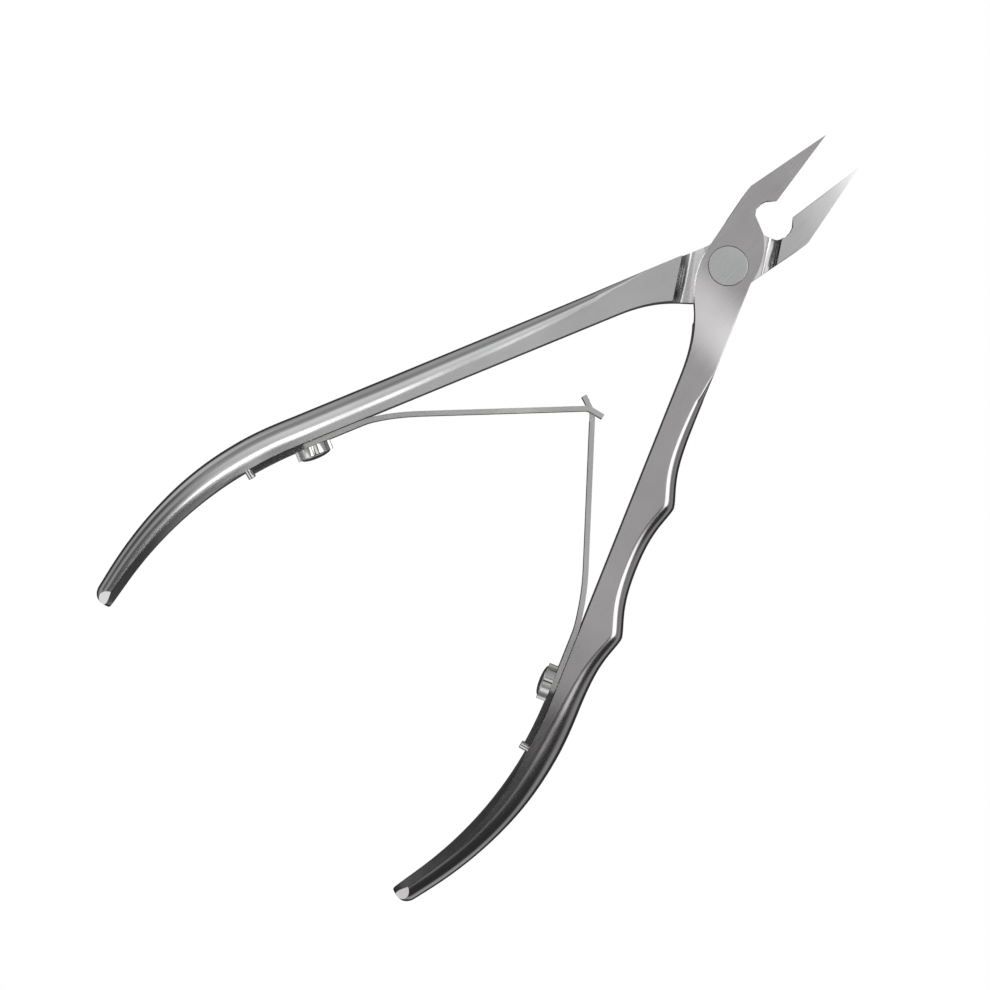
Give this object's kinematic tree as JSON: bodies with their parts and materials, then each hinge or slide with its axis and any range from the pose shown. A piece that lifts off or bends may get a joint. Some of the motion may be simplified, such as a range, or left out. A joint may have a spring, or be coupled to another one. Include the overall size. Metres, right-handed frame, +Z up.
{
  "type": "cuticle nipper",
  "caption": "Cuticle nipper with a lap joint, straight jaws, curved handles, finger rests on one handle and a double leaf return spring.",
  "frame": {"origin": "on the pivot axis, in the plane of the flat underside that the nipper rests on", "axes": "+X to the jaw tips, +Y to the side of the lower lever's handle, +Z up through the joint to the stud's flush head"},
  "size_m": [0.1146, 0.0648, 0.0064],
  "materials": {
    "satin_stainless": "satin ground",
    "spring_steel": "bright rolled strip",
    "plated_screw": "bright turned"
  },
  "bodies": {
    "lower_lever": {"lower_lever": "satin_stainless", "pivot_stud": "satin_stainless", "pivot_screw": "satin_stainless", "slotted_leaf_foot": "spring_steel", "lower_locating_pin": "plated_screw"},
    "upper_lever": {"upper_lever": "satin_stainless", "tongue_leaf_foot": "spring_steel", "upper_locating_pin": "plated_screw"},
    "slotted_leaf": {"slotted_leaf_blade": "spring_steel"},
    "tongue_leaf": {"tongue_leaf_blade": "spring_steel"},
    "lower_thumb_screw": {"lower_thumb_screw": "plated_screw"},
    "upper_thumb_screw": {"upper_thumb_screw": "plated_screw"}
  },
  "joints": [
    {"name": "pivot", "type": "hinge", "parent": "lower_lever", "child": "upper_lever", "pos_m": [0, 0, 0.0032], "axis": [0, 0, -1], "range_deg": [0, 15.9], "stiffness_Nm_per_rad": 1.5},
    {"name": "slotted_leaf_flex", "type": "hinge", "parent": "lower_lever", "child": "slotted_leaf", "pos_m": [-0.04965, 0.02004, 0.0032], "axis": [0, 0, 1], "range_deg": [0, 7.3]},
    {"name": "tongue_leaf_flex", "type": "hinge", "parent": "upper_lever", "child": "tongue_leaf", "pos_m": [-0.04956, -0.02039, 0.0032], "axis": [0, 0, -1], "range_deg": [0, 8.9]},
    {"name": "lower_thumb_screw_turn", "type": "hinge", "parent": "lower_lever", "child": "lower_thumb_screw", "pos_m": [-0.05696, 0.02355, 0.0032], "axis": [-0.3867, -0.9222, 0], "continuous": true},
    {"name": "upper_thumb_screw_turn", "type": "hinge", "parent": "upper_lever", "child": "upper_thumb_screw", "pos_m": [-0.05685, -0.02394, 0.0032], "axis": [-0.3923, 0.9198, 0], "continuous": true}
  ],
  "couplings": [
    {"joint": "slotted_leaf_flex", "follows": "pivot", "ratio": 0.4516},
    {"joint": "tongue_leaf_flex", "follows": "pivot", "ratio": 0.5505}
  ]
}
